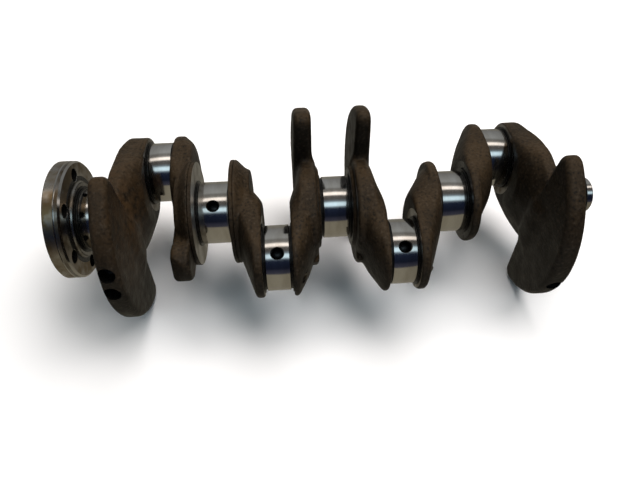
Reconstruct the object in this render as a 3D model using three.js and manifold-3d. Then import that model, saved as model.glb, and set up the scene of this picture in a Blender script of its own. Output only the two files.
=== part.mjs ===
// Crankshaft of an in-line four-cylinder engine: five main journals, four crankpins, eight webs,
// a bolted rear flange and a short ground nose. Millimetres, +Z up.
//
// X runs along the main axis, from the rear flange (-X) to the nose (+X). The throws lie in the
// horizontal plane: crankpins 1 and 4 towards +Y, crankpins 2 and 3 towards -Y. The origin is the
// centre of the middle main journal. Stations are counted from the rear flange.
//
// Each web is drawn in its own frame: x is the distance from the web's main journal towards its
// crankpin, y is the direction of the throw, and z is across the throw.
import * as THREE from "three";
import { mergeVertices } from "three/addons/utils/BufferGeometryUtils.js";
import { ConvexGeometry } from "three/addons/geometries/ConvexGeometry.js";
import Module from "manifold-3d";

const wasm = await Module();
wasm.setup();

// ---- Driving dimensions ----
const borePitch = 94; // from one main journal's centre to the next
const throwRadius = 48; // from the main axis to a crankpin's axis: half the stroke
const seamGap = 0.05; // left between two stations that butt against each other

const mainDiameter = 50;
const mainWidth = 24.5; // between the two web faces
const pinDiameter = 50;
const pinWidth = 22.5;
const cheekHeight = 1.6; // turned ring at each end of a journal, above the ground surface
const cheekWidth = 0.9;
const undercutWidth = 1.3; // rolled groove between the ring and the ground surface
const undercutDepth = 0.9;

const mainEndWall = 8; // web outline round the main journal, beyond the ground surface
const mainEndWidth = 3.5; // web width at its far end, beyond the main journal
const pinEndWall = 5; // web outline round the crankpin, beyond the ground surface
const pinEndWidth = 8; // web width at its far end, beyond the crankpin
const endPinEndWidth = 16; // the same on the first and last webs
const shoulderWall = 7; // flat face on the crankpin side, beyond the ground surface
const shoulderOffset = 16; // its centre's distance from the crankpin's axis, towards the main axis
const shoulderHeight = 0.5; // how far it stands proud of the crankpin's turned cheek
const webEdge = 1.8; // rounding at the web's edges
const pinPocketClearance = 5; // turned pocket round the crankpin's ring

const weightRadius = 80.5; // counterweight's rim, from the main axis
const weightHalfAngle = 72; // degrees, from the line opposite the throw to the rim's corner
const weightCornerRadius = 10;
const weightStart = 4.2; // from the main journal's web face to the counterweight's outer face
const weightWidth = 16;
const weightEdge = 4; // rounding at the counterweight's edges
const neckHalfWidth = 38; // half the web's width where the counterweight begins
const neckReach = 8; // how far the neck lies beyond the main axis
const broadWall = 17; // arm of a web with a counterweight, beyond the main journal's surface
const broadCentre = 6; // its centre's distance from the main axis
const broadStart = 2.5; // from the main journal's web face to where the broad arm begins
const broadWidth = 10;

const thrustWall = 17; // thrust faces on both sides of main journal 2, beyond its surface
const thrustWidth = 3;
const thrustChamfer = 0.6;
const thrustSetBack = 3; // the rear thrust face stands this far back from the journal's end

const lugCentre = 45; // balance lug on web 2, from the main axis
const lugRadius = 17;
const lugNeckHalfWidth = 12;
const lugStart = 5;
const lugWidth = 16;

const flangeWidth = 13;
const flangeChamfer = 0.8;
const flangeBossWall = 6; // boss between the flange and the rear main journal, beyond its surface
const flangeBossWidth = 2.35;
const flangeBoltCount = 6;
const flangeBoltHole = 10.5;
const flangeBoltClearance = 0.55; // from the boss to the bolt holes
const flangeRimWall = 4.75; // from the bolt holes to the flange's rim
const pilotDiameter = 36;
const pilotDepth = 8;

const noseRadius = 14.2;
const noseLength = 12;
const noseChamfer = 1;
const noseBoltHole = 11;
const noseBoltDepth = 30;

const oilHoleDiameter = 9; // mouth on a journal's surface
const oilHoleAngle = 62; // degrees, from the throw's direction
const galleryDiameter = 6; // slanted drilling from a main journal to a crankpin
const plugDiameter = 9;
const plugLength = 5;
const plugClearance = 0.3;
const plugRecess = 0.8;

const balanceHoleDiameter = 12.5; // drilled into a counterweight's rim
const balanceHoleDepth = 12;
const balanceHoleStation = 11; // from the main journal's web face
// Drillings of each web that has them, in degrees from the line opposite the throw, towards the
// web's own +z.
const balanceAngles = { 1: [7.5, 20], 8: [9.5] };

// ---- Sizes that follow ----
const webWidth = borePitch / 2 - mainWidth / 2 - pinWidth / 2;
const mainRadius = mainDiameter / 2;
const pinRadius = pinDiameter / 2;
const pinStation = webWidth + pinWidth / 2; // from a web's main face to its crankpin's centre
const mainStation = -mainWidth / 2; // from a web's main face to its main journal's centre
const mainEndRadius = mainRadius + mainEndWall;
const pinEndRadius = pinRadius + pinEndWall;
const shoulderRadius = pinRadius + shoulderWall;
const shoulderCentre = throwRadius - shoulderOffset;
const pinPocketRadius = pinRadius + cheekHeight + pinPocketClearance;
const broadRadius = mainRadius + broadWall;
const thrustRadius = mainRadius + thrustWall;
const flangeBossRadius = mainRadius + flangeBossWall;
const flangeBoltDistance = flangeBossRadius + flangeBoltClearance + flangeBoltHole / 2;
const flangeRadius = flangeBoltDistance + flangeBoltHole / 2 + flangeRimWall;
const degrees = THREE.MathUtils.degToRad;

const cutOverrun = 2; // how far a cutter runs out past the face that it opens
const farCut = 2 * borePitch; // reach of a cutter whose length doesn't matter
const journalSides = 28;
const webSides = 24;
const holeSides = 12;

// ---- Solids ----
/** A closed geometry as a manifold-3d solid. */
function solid(geometry) {
  const bare = geometry.clone();
  bare.deleteAttribute("normal");
  bare.deleteAttribute("uv");
  const merged = mergeVertices(bare, 1e-4);
  return new wasm.Manifold(
    new wasm.Mesh({
      numProp: 3,
      vertProperties: new Float32Array(merged.attributes.position.array),
      triVerts: new Uint32Array(merged.index.array),
    }),
  );
}

/** A manifold-3d solid as a geometry with flat-shaded faces. */
function geometryOf(made) {
  const mesh = made.getMesh();
  const geometry = new THREE.BufferGeometry();
  geometry.setAttribute("position", new THREE.BufferAttribute(mesh.vertProperties, 3));
  geometry.setIndex(new THREE.BufferAttribute(mesh.triVerts, 1));
  const split = geometry.toNonIndexed();
  split.computeVertexNormals();
  return split;
}

/** A solid of revolution about the x axis, from [position along x, radius] pairs. */
function turned(profile) {
  const points = profile.map(([along, radius]) => new THREE.Vector2(radius, along));
  const geometry = new THREE.LatheGeometry(points, journalSides);
  geometry.rotateZ(-Math.PI / 2);
  return solid(geometry);
}

/** A round bar between two points, for drillings and plugs. */
function bar(from, to, radius, sides = holeSides) {
  const along = new THREE.Vector3().subVectors(to, from);
  const geometry = new THREE.CylinderGeometry(radius, radius, along.length(), sides);
  const turn = new THREE.Quaternion().setFromUnitVectors(
    new THREE.Vector3(0, 1, 0),
    along.clone().normalize(),
  );
  geometry.applyQuaternion(turn);
  geometry.translate((from.x + to.x) / 2, (from.y + to.y) / 2, (from.z + to.z) / 2);
  return solid(geometry);
}

/** Points of a circle across x, centred on the throw line at the height y. */
function ring(x, y, radius, sides = webSides) {
  return Array.from({ length: sides }, (_, i) => {
    const angle = (2 * Math.PI * i) / sides;
    return new THREE.Vector3(x, y + radius * Math.cos(angle), radius * Math.sin(angle));
  });
}

/** A plate across x whose outline is a shape in (y, z), with rounded edges. */
function plate(shape, start, width, edge) {
  const geometry = new THREE.ExtrudeGeometry(shape, {
    depth: width - 2 * edge,
    bevelThickness: edge,
    bevelSize: edge,
    bevelOffset: -edge,
    bevelSegments: 2,
    curveSegments: 8,
  });
  geometry.translate(0, 0, edge);
  const axes = new THREE.Matrix4().makeBasis(
    new THREE.Vector3(0, 1, 0),
    new THREE.Vector3(0, 0, 1),
    new THREE.Vector3(1, 0, 0),
  );
  geometry.applyMatrix4(axes);
  geometry.translate(start, 0, 0);
  return solid(geometry);
}

// ---- Journals ----
/** Half of a journal's outline, from its end in to the ground surface, as [distance, radius]. */
function journalEnd(radius, length) {
  const ringEnd = length - cheekWidth;
  const groove = ringEnd - undercutWidth;
  const floor = radius - undercutDepth;
  return [
    [length - seamGap / 2, 0],
    [length - seamGap / 2, radius + cheekHeight],
    [ringEnd, radius + cheekHeight],
    [ringEnd, floor],
    [groove + undercutDepth / 2, floor],
    [groove, radius],
  ];
}

/** A journal centred on the origin: ground surface, two rolled undercuts and two turned rings. */
function journal(radius, before, after) {
  const rear = journalEnd(radius, before).map(([along, out]) => [-along, out]);
  const front = journalEnd(radius, after).reverse();
  return turned([...rear, ...front]);
}

/** A direction across the main axis, at an angle in degrees from the throw's direction. */
function across(angle) {
  return new THREE.Vector3(0, Math.cos(degrees(angle)), Math.sin(degrees(angle)));
}

/** The short radial drilling that joins a journal's surface to its slanted gallery. */
function oilHole(radius, angle) {
  const mouth = across(angle).multiplyScalar(radius + cutOverrun);
  return bar(new THREE.Vector3(), mouth, oilHoleDiameter / 2);
}

/**
 * The slanted gallery through a point on a journal's axis. It runs from a main journal's centre
 * towards a crankpin's centre: the signs say which way along x and which way across, and the two
 * distances how far it reaches behind the point and ahead of it.
 */
function gallery(through, alongSign, throwSign, back, forward) {
  const direction = new THREE.Vector3(
    alongSign * (borePitch / 2),
    throwSign * throwRadius,
    0,
  ).normalize();
  return bar(
    through.clone().addScaledVector(direction, -back),
    through.clone().addScaledVector(direction, forward),
    galleryDiameter / 2,
  );
}

const halfGallery = Math.hypot(borePitch / 2, throwRadius);

// ---- Webs ----
/** The arm that every web has, from the main journal's end to the crankpin's end. */
function arm(mainFace, pinEnd, isBroad) {
  const pinFace = webWidth + shoulderHeight;
  const slopeTop = webWidth - pinEnd;
  const rings = [
    ring(mainFace, 0, mainEndRadius - webEdge),
    ring(mainFace + webEdge, 0, mainEndRadius),
    ring(mainFace + mainEndWidth, 0, mainEndRadius),
    ring(slopeTop, throwRadius, pinEndRadius - webEdge),
    ring(slopeTop + webEdge, throwRadius, pinEndRadius),
    ring(webWidth, throwRadius, pinEndRadius),
    ring(pinFace - webEdge, shoulderCentre, shoulderRadius),
    ring(pinFace, shoulderCentre, shoulderRadius - webEdge),
  ];
  if (isBroad) {
    rings.push(
      ring(broadStart, broadCentre, broadRadius - webEdge),
      ring(broadStart + webEdge, broadCentre, broadRadius),
      ring(broadStart + broadWidth, broadCentre, broadRadius),
    );
  }
  return solid(new ConvexGeometry(rings.flat()));
}

/** The counterweight's outline: a fan about the main axis with rounded corners and a neck. */
function counterweightShape() {
  const inset = weightCornerRadius;
  const centreDistance = weightRadius - inset;
  const halfAngle = degrees(weightHalfAngle);
  const rimAngle = halfAngle - Math.asin(inset / centreDistance);
  const cornerY = -centreDistance * Math.cos(rimAngle);
  const cornerZ = centreDistance * Math.sin(rimAngle);
  const flank = Math.PI / 2 - halfAngle;
  const shape = new THREE.Shape();
  shape.moveTo(0, -neckHalfWidth / 2);
  shape.lineTo(0, neckHalfWidth / 2);
  shape.lineTo(-neckReach, neckHalfWidth);
  shape.absarc(cornerY, cornerZ, inset, flank, Math.PI - rimAngle, false);
  shape.absarc(0, 0, weightRadius, Math.PI - rimAngle, Math.PI + rimAngle, false);
  shape.absarc(cornerY, -cornerZ, inset, Math.PI + rimAngle, 2 * Math.PI - flank, false);
  shape.lineTo(-neckReach, -neckHalfWidth);
  shape.closePath();
  return shape;
}

const counterweight = () => plate(counterweightShape(), weightStart, weightWidth, weightEdge);

/** The rounded lug that balances web 2. */
function lug() {
  const neckAngle = Math.asin(lugNeckHalfWidth / lugRadius);
  const shape = new THREE.Shape();
  shape.moveTo(0, -lugNeckHalfWidth);
  shape.lineTo(0, lugNeckHalfWidth);
  shape.absarc(-lugCentre, 0, lugRadius, neckAngle, -neckAngle, false);
  shape.closePath();
  return plate(shape, lugStart, lugWidth, weightEdge);
}

/** A round cutter between two stations along x, centred on the throw line at the height y. */
function faceCut(from, to, radius, y) {
  return bar(new THREE.Vector3(from, y, 0), new THREE.Vector3(to, y, 0), radius, webSides);
}

/** Radial drillings in a counterweight's rim, at angles from the line opposite the throw. */
function balanceHoles(angles) {
  const place = (angle, distance) =>
    across(180 - angle).multiplyScalar(distance).setX(balanceHoleStation);
  return angles.map((angle) =>
    bar(
      place(angle, weightRadius - balanceHoleDepth),
      place(angle, weightRadius + cutOverrun),
      balanceHoleDiameter / 2,
    ),
  );
}

/**
 * One web in its own frame.
 * holes: angles of its balance drillings. pinEnd: its width beyond the crankpin. mainFace: where
 * its main face stands. fed: "main" when the gallery comes from this web's own main journal,
 * "plugged" when it comes through the crankpin and is plugged here.
 */
function web({ hasWeight, holes, pinEnd, mainFace, hasLug, fed }) {
  let body = arm(mainFace, pinEnd, hasWeight);
  if (hasWeight) body = body.add(counterweight());
  if (hasLug) body = body.add(lug());
  body = body.subtract(faceCut(webWidth - seamGap / 2, farCut, pinPocketRadius, throwRadius));
  body = body.subtract(faceCut(-farCut, mainFace + seamGap / 2, farCut, 0));
  for (const hole of balanceHoles(holes)) body = body.subtract(hole);
  if (fed === "main") {
    const main = new THREE.Vector3(mainStation, 0, 0);
    body = body.subtract(gallery(main, 1, 1, 0, halfGallery));
  }
  if (fed === "plugged") {
    const pin = new THREE.Vector3(pinStation, throwRadius, 0);
    body = body.subtract(gallery(pin, -1, 1, 0, halfGallery));
    body = body.subtract(plugCutter(plugDistance(pinEnd, hasWeight)));
  }
  return body;
}

// ---- Plugs ----
/**
 * Where the gallery leaves a web, measured from the crankpin's centre along the gallery: it
 * crosses the slope between the main journal's end and the crankpin's end.
 */
function plugDistance(pinEnd, hasWeight) {
  const slopeStart = hasWeight ? broadCentre + broadRadius - webEdge : mainEndRadius - webEdge;
  const foot = hasWeight ? broadStart : 0;
  const slopeEnd = throwRadius + pinEndRadius - webEdge;
  const rise = (webWidth - pinEnd - foot) / (slopeEnd - slopeStart);
  const ratio = throwRadius / (borePitch / 2);
  const atPin = foot + (throwRadius - slopeStart) * rise;
  const along = (pinStation - atPin) / (1 + ratio * rise);
  return along * Math.hypot(1, ratio);
}

const plugPlace = (distance) =>
  new THREE.Vector3(pinStation, throwRadius, 0).addScaledVector(
    new THREE.Vector3(-borePitch / 2, throwRadius, 0).normalize(),
    distance,
  );

function plugCutter(mouth) {
  return bar(
    plugPlace(mouth - plugRecess - plugLength - plugClearance),
    plugPlace(mouth + plugDiameter),
    plugDiameter / 2 + plugClearance,
  );
}

function plug(mouth) {
  return bar(
    plugPlace(mouth - plugRecess - plugLength),
    plugPlace(mouth - plugRecess),
    plugDiameter / 2,
  );
}

// ---- Ends ----
const flangeFront = 2 * borePitch + mainWidth / 2 + flangeBossWidth; // distance from the origin
const flangeBack = flangeFront + flangeWidth;
const noseStart = 2 * borePitch + mainWidth / 2;

function flange() {
  const c = flangeChamfer;
  const disc = turned([
    [0, 0],
    [0, flangeRadius - c],
    [c, flangeRadius],
    [flangeWidth - seamGap / 2 - c, flangeRadius],
    [flangeWidth - seamGap / 2, flangeRadius - c],
    [flangeWidth - seamGap / 2, 0],
  ]);
  let made = disc.subtract(
    bar(
      new THREE.Vector3(-cutOverrun, 0, 0),
      new THREE.Vector3(pilotDepth, 0, 0),
      pilotDiameter / 2,
      webSides,
    ),
  );
  for (let i = 0; i < flangeBoltCount; i++) {
    const angle = (2 * Math.PI * i) / flangeBoltCount;
    const y = -flangeBoltDistance * Math.cos(angle);
    const z = flangeBoltDistance * Math.sin(angle);
    made = made.subtract(
      bar(
        new THREE.Vector3(-cutOverrun, y, z),
        new THREE.Vector3(flangeWidth + cutOverrun, y, z),
        flangeBoltHole / 2,
      ),
    );
  }
  return made;
}

const flangeBoss = () =>
  turned([
    [seamGap / 2, 0],
    [seamGap / 2, flangeBossRadius],
    [flangeBossWidth - seamGap / 2, flangeBossRadius - flangeBossWidth / 2],
    [flangeBossWidth - seamGap / 2, 0],
  ]);

const noseBolt = (start, end) =>
  bar(new THREE.Vector3(start, 0, 0), new THREE.Vector3(end, 0, 0), noseBoltHole / 2);

function nose() {
  return turned([
    [seamGap / 2, 0],
    [seamGap / 2, noseRadius],
    [noseLength - noseChamfer, noseRadius],
    [noseLength, noseRadius - noseChamfer],
    [noseLength, 0],
  ]).subtract(noseBolt(-cutOverrun, noseLength + cutOverrun));
}

const thrustFace = () =>
  turned([
    [seamGap / 2, 0],
    [seamGap / 2, thrustRadius - thrustChamfer],
    [thrustChamfer, thrustRadius],
    [thrustWidth - seamGap / 2, thrustRadius],
    [thrustWidth - seamGap / 2, 0],
  ]);

// ---- Finishes ----
const forged = new THREE.MeshStandardMaterial({ color: 0x3a3027, roughness: 0.7, metalness: 0.6 });
const ground = new THREE.MeshStandardMaterial({ color: 0xb9bbbd, roughness: 0.18, metalness: 1 });
const turnedSteel = new THREE.MeshStandardMaterial({ color: 0x9a9890, roughness: 0.35, metalness: 1 });
const plugSteel = new THREE.MeshStandardMaterial({ color: 0x8a8a86, roughness: 0.4, metalness: 1 });

// ---- Assembly ----
const crankshaft = new THREE.Group();
crankshaft.name = "crankshaft";

function add(parent, name, made, material) {
  const mesh = new THREE.Mesh(geometryOf(made), material.clone());
  mesh.name = name;
  parent.add(mesh);
  return mesh;
}

// Throw directions, counted from the rear: +1 towards +Y.
const throwSigns = [1, -1, -1, 1];
// The main journal whose oil feeds each crankpin, both counted from the rear.
const feeds = [2, 2, 3, 4];
const mainCount = 5;

/** Main journals, with half of each gallery that starts in them. */
for (let number = 1; number <= mainCount; number++) {
  const setBack = number === 2 ? thrustSetBack : 0;
  let made = journal(mainRadius, mainWidth / 2 + setBack, mainWidth / 2);
  feeds.forEach((main, i) => {
    if (main !== number) return;
    const alongSign = i + 1 >= number ? 1 : -1;
    const start = galleryDiameter / 2;
    const reach = halfGallery / 2;
    made = made.subtract(gallery(new THREE.Vector3(), alongSign, throwSigns[i], start, reach));
  });
  if (feeds.includes(number)) {
    // Main journal 2 has its mouth on the upper side, away from the first throw.
    const angle = number === 2 ? 180 - oilHoleAngle : -oilHoleAngle;
    made = made.subtract(oilHole(mainRadius, angle));
  }
  if (number === mainCount) {
    made = made.subtract(noseBolt(mainWidth / 2 + noseLength - noseBoltDepth, mainWidth));
  }
  const mesh = add(crankshaft, `main_journal_${number}`, made, ground);
  mesh.position.x = (number - (mainCount + 1) / 2) * borePitch;
}

/** Crankpins, each in a throw of its own, with the webs on both sides of it. */
throwSigns.forEach((sign, i) => {
  const number = i + 1;
  const throwGroup = new THREE.Group();
  throwGroup.position.x = (number - mainCount / 2) * borePitch;
  // Half a turn about the main axis takes +Y to -Y.
  if (sign < 0) throwGroup.rotation.x = Math.PI;
  crankshaft.add(throwGroup);

  const fedFromRear = feeds[i] === number;
  const along = fedFromRear ? 1 : -1;
  let pin = journal(pinRadius, pinWidth / 2, pinWidth / 2);
  pin = pin.subtract(oilHole(pinRadius, -oilHoleAngle));
  pin = pin.subtract(gallery(new THREE.Vector3(), along, 1, farCut, farCut));
  const pinMesh = add(throwGroup, `crankpin_${number}`, pin, ground);
  pinMesh.position.y = throwRadius;

  for (const ahead of [false, true]) {
    const webNumber = 2 * number - (ahead ? 0 : 1);
    const side = new THREE.Group();
    side.position.x = (ahead ? 1 : -1) * (borePitch / 2 - mainWidth / 2);
    // A web ahead of its crankpin looks back at it: half a turn about the throw's direction.
    if (ahead) side.rotation.y = Math.PI;
    throwGroup.add(side);
    const isEnd = webNumber === 1 || webNumber === 8;
    const isMiddle = webNumber === 4 || webNumber === 5;
    const isThrust = webNumber === 2 || webNumber === 3;
    const setBack = webNumber === 2 ? thrustSetBack : 0;
    const hasWeight = isEnd || isMiddle;
    const pinEnd = isEnd ? endPinEndWidth : pinEndWidth;
    const isFed = fedFromRear === !ahead;
    const made = web({
      hasWeight,
      pinEnd,
      holes: balanceAngles[webNumber] ?? [],
      mainFace: isThrust ? setBack + thrustWidth : 0,
      hasLug: webNumber === 2,
      fed: isFed ? "main" : "plugged",
    });
    add(side, `web_${webNumber}`, made, forged);
    if (isThrust) {
      const faceName = ahead ? "thrust_face_rear" : "thrust_face_front";
      const face = add(side, faceName, thrustFace(), turnedSteel);
      face.position.x = setBack;
    }
    if (!isFed) {
      const mouth = plugDistance(pinEnd, hasWeight);
      add(side, `oil_gallery_plug_${number}`, plug(mouth), plugSteel);
    }
  }
});

const flangeMesh = add(crankshaft, "rear_flange", flange(), turnedSteel);
flangeMesh.position.x = -flangeBack;
const bossMesh = add(crankshaft, "flange_boss", flangeBoss(), turnedSteel);
bossMesh.position.x = -flangeFront;
const noseMesh = add(crankshaft, "nose", nose(), ground);
noseMesh.position.x = noseStart;

export default crankshaft;
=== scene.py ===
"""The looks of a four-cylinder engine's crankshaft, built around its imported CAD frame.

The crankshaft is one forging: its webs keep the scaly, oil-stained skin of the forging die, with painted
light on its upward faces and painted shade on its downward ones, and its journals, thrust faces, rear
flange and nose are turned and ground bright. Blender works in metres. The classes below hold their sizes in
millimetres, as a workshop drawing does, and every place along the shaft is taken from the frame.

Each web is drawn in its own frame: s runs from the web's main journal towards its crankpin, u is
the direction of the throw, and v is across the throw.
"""
import logging
import math
from dataclasses import dataclass
from enum import Enum, IntEnum
from typing import Optional, Sequence

import bmesh
import bpy
import numpy as np
import openvdb
from mathutils import Matrix, Vector


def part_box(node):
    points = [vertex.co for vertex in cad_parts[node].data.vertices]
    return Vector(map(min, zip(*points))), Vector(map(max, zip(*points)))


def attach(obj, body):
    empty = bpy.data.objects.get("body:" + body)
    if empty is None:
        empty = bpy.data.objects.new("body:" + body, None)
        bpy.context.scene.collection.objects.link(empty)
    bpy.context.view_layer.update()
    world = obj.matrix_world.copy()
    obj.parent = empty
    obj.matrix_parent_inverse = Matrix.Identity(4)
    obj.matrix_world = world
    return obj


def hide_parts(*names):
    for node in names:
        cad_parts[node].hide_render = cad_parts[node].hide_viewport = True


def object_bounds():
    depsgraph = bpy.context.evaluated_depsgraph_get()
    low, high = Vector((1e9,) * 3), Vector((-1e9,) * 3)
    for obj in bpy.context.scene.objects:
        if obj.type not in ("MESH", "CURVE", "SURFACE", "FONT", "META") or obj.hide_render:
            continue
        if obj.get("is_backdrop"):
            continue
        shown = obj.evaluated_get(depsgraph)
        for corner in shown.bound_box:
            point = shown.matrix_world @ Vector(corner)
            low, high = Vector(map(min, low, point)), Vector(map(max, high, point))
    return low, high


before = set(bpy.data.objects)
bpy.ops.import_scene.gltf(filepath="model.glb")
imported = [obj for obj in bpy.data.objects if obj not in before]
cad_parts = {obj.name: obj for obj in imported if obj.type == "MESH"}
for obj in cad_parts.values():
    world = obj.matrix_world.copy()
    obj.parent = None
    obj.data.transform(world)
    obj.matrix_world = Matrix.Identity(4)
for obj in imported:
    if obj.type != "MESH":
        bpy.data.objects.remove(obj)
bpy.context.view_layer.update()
MM = 0.001
SHORTEST_ARM = 0.5
STEEPEST_ARM = 0.95
STEEPEST_SLOPE = 3.0
DRILL_POINT = math.radians(30)
ALONG = Vector((1, 0, 0))
LOG = logging.getLogger("crankshaft")
Field = np.ndarray
Line = Sequence[tuple[float, float]]
Colour = tuple[float, float, float]
Socket = bpy.types.NodeSocket
Piece = bpy.types.Object


# ---- Fields: shapes as distances, in millimetres, below zero inside ----
def rounded_max(a: Field, b: Field, radius: float) -> Field:
    """Meets two fields in an outer edge of a given rounding.

    Args:
        a: The first field.
        b: The second field.
        radius: The edge's rounding.

    Returns:
        The field of what both hold.
    """
    inside = np.minimum(np.maximum(a, b), -radius)
    return inside + np.hypot(np.maximum(a + radius, 0), np.maximum(b + radius, 0))


def blended_min(a: Field, b: Field, fillet: float) -> Field:
    """Joins two fields with a forged fillet between them.

    Args:
        a: The first field.
        b: The second field.
        fillet: How far the blend reaches.

    Returns:
        The field of what either holds.
    """
    share = np.clip(0.5 + 0.5 * (b - a) / fillet, 0, 1)
    return b * (1 - share) + a * share - fillet * share * (1 - share)


def softened(places: Field, corners: Line, spread: float) -> Field:
    """A line through corner points, with its corners rounded off.

    Args:
        places: Where to read the line, evenly spaced.
        corners: The line's corners as (place, value).
        spread: How far each corner is rounded.

    Returns:
        The line's value at each place.
    """
    along, values = zip(*corners)
    step = places[1] - places[0]
    reach = max(1, math.ceil(3 * spread / step))
    offsets = np.arange(-reach, reach + 1) * step
    weights = np.exp(-0.5 * (offsets / spread) ** 2)
    wide = np.concatenate([places[0] + offsets[:reach], places, places[-1] + offsets[-reach:]])
    return np.convolve(np.interp(wide, along, values), weights / weights.sum(), mode="valid")


def tapered_outline(
    u: Field, v: Field, heel: Field, heel_radius: Field, toe: Field, toe_radius: Field,
) -> Field:
    """The hull of two circles on the throw line, as a field.

    Args:
        u: Distances along the throw.
        v: Distances across the throw.
        heel: The first circle's centre.
        heel_radius: The first circle's radius.
        toe: The second circle's centre.
        toe_radius: The second circle's radius.

    Returns:
        The hull's field.
    """
    length = np.maximum(toe - heel, SHORTEST_ARM)
    lean = np.clip((heel_radius - toe_radius) / length, -STEEPEST_ARM, STEEPEST_ARM)
    rise = np.sqrt(1 - lean * lean)
    along, across = u - heel, np.abs(v)
    level = rise * along - lean * across
    near = np.hypot(along, across) - heel_radius
    far = np.hypot(along - length, across) - toe_radius
    flank = rise * across + lean * along - heel_radius
    return np.where(level < 0, near, np.where(level > rise * length, far, flank))


@dataclass(frozen=True)
class Lattice:
    """The evenly spaced points at which a web's field is worked out."""

    step: float = 1.0
    band: int = 4
    along: tuple[float, float] = (-2.5, 27.5)
    throw: tuple[float, float] = (-84.0, 82.0)
    across: tuple[float, float] = (-84.0, 84.0)

    def axis(self, ends: tuple[float, float]) -> Field:
        """The points of one axis between its two ends."""
        return np.arange(ends[0], ends[1] + self.step / 2, self.step)

    def axes(self) -> tuple[Field, Field, Field]:
        """The three axes s, u and v, shaped to spread over one another."""
        s, u, v = (self.axis(ends) for ends in (self.along, self.throw, self.across))
        return s[:, None, None], u[None, :, None], v[None, None, :]

    def skin(self, values: Field) -> tuple[Field, Field]:
        """The surface where a field is zero.

        Args:
            values: The field at every point of the lattice.

        Returns:
            The surface's points in millimetres and its four-sided faces.
        """
        grid = openvdb.FloatGrid(self.band * self.step)
        grid.copyFromArray(np.ascontiguousarray(values, dtype=np.float32))
        points, quads = grid.convertToQuads(0.0)
        start = np.array([self.along[0], self.throw[0], self.across[0]])
        return points * self.step + start, quads


# ---- Meshes ----
def object_of(name: str, points: Field, faces: Sequence, materials: Sequence) -> Piece:
    """A named mesh object in the scene, with its faces turned outwards.

    Args:
        name: The object's name.
        points: Its points, in metres.
        faces: Its faces, as indices of the points.
        materials: The materials of its slots.

    Returns:
        The new object.
    """
    mesh = bpy.data.meshes.new(name)
    mesh.from_pydata(points.tolist(), [], [tuple(map(int, face)) for face in faces])
    work = bmesh.new()
    work.from_mesh(mesh)
    bmesh.ops.recalc_face_normals(work, faces=work.faces)
    work.to_mesh(mesh)
    work.free()
    for material in materials:
        mesh.materials.append(material)
    piece = bpy.data.objects.new(name, mesh)
    bpy.context.scene.collection.objects.link(piece)
    return piece


def smoothed(piece: Piece, crease: float = 32) -> Piece:
    """Shades a piece smooth, except at its sharp edges.

    Args:
        piece: The piece to shade.
        crease: How sharp an edge has to be to stay sharp, in degrees.

    Returns:
        The same piece.
    """
    mesh = piece.data
    mesh.polygons.foreach_set("use_smooth", [True] * len(mesh.polygons))
    mesh.set_sharp_from_angle(angle=math.radians(crease))
    return piece


def baked(piece: Piece) -> Piece:
    """Turns a piece's modifiers into its mesh.

    Args:
        piece: The piece, with modifiers.

    Returns:
        The same piece, with none.
    """
    bpy.context.view_layer.update()
    ready = piece.evaluated_get(bpy.context.evaluated_depsgraph_get())
    mesh = bpy.data.meshes.new_from_object(ready)
    piece.modifiers.clear()
    piece.data = mesh
    return piece


def cut(piece: Piece, tools: Sequence[Piece]) -> Piece:
    """Cuts a piece with closed tools, whose materials stay on the faces that they leave.

    Args:
        piece: The piece to cut.
        tools: The cutting tools, which are used up.

    Returns:
        The same piece, cut.
    """
    for tool in tools:
        modifier = piece.modifiers.new("cut", "BOOLEAN")
        modifier.operation = "DIFFERENCE"
        modifier.solver = "EXACT"
        modifier.material_mode = "TRANSFER"
        modifier.object = tool
    baked(piece)
    for tool in tools:
        bpy.data.objects.remove(tool)
    return piece


@dataclass(frozen=True)
class Run:
    """A stretch of a turned outline: its points as (place along the axis, radius) and its finish."""

    points: Line
    finish: int = 0


def turned(
    name: str, runs: Sequence[Run], materials: Sequence, centre: Vector, axis: Vector, sides: int = 160,
) -> Piece:
    """A solid of revolution. Its outline starts and ends on the axis.

    Args:
        name: The object's name.
        runs: The outline's stretches. Each starts where the one before it ends.
        materials: The materials that the stretches' finishes number.
        centre: A point on the axis from which places are counted, in millimetres.
        axis: The direction in which they are counted.
        sides: How many steps make a full turn.

    Returns:
        The new object.
    """
    outline: list[tuple[float, float]] = []
    finishes: list[int] = []
    for run in runs:
        for point in run.points:
            if outline:
                finishes.append(run.finish)
            outline.append(point)
    turn = axis.to_track_quat("X", "Z").to_matrix()
    angles = [2 * math.pi * i / sides for i in range(sides)]
    points, rings = [], []
    for along, radius in outline:
        if radius <= 0:
            rings.append([len(points)] * sides)
            points.append(centre + turn @ Vector((along, 0, 0)))
            continue
        rings.append(list(range(len(points), len(points) + sides)))
        for angle in angles:
            spoke = Vector((along, radius * math.cos(angle), radius * math.sin(angle)))
            points.append(centre + turn @ spoke)
    faces, marks = [], []
    for i, (first, second) in enumerate(zip(rings, rings[1:])):
        for j in range(sides):
            k = (j + 1) % sides
            loop = [first[j], first[k], second[k], second[j]]
            face = [corner for n, corner in enumerate(loop) if corner != loop[n - 1]]
            if len(face) > 2:
                faces.append(face)
                marks.append(finishes[i])
    piece = object_of(name, np.array(points) * MM, faces, materials)
    piece.data.polygons.foreach_set("material_index", marks)
    return smoothed(piece)


class DrillFinish(IntEnum):
    """The finishes that a drill leaves, as its tool numbers them."""

    BORE = 0
    EDGE = 1


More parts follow.
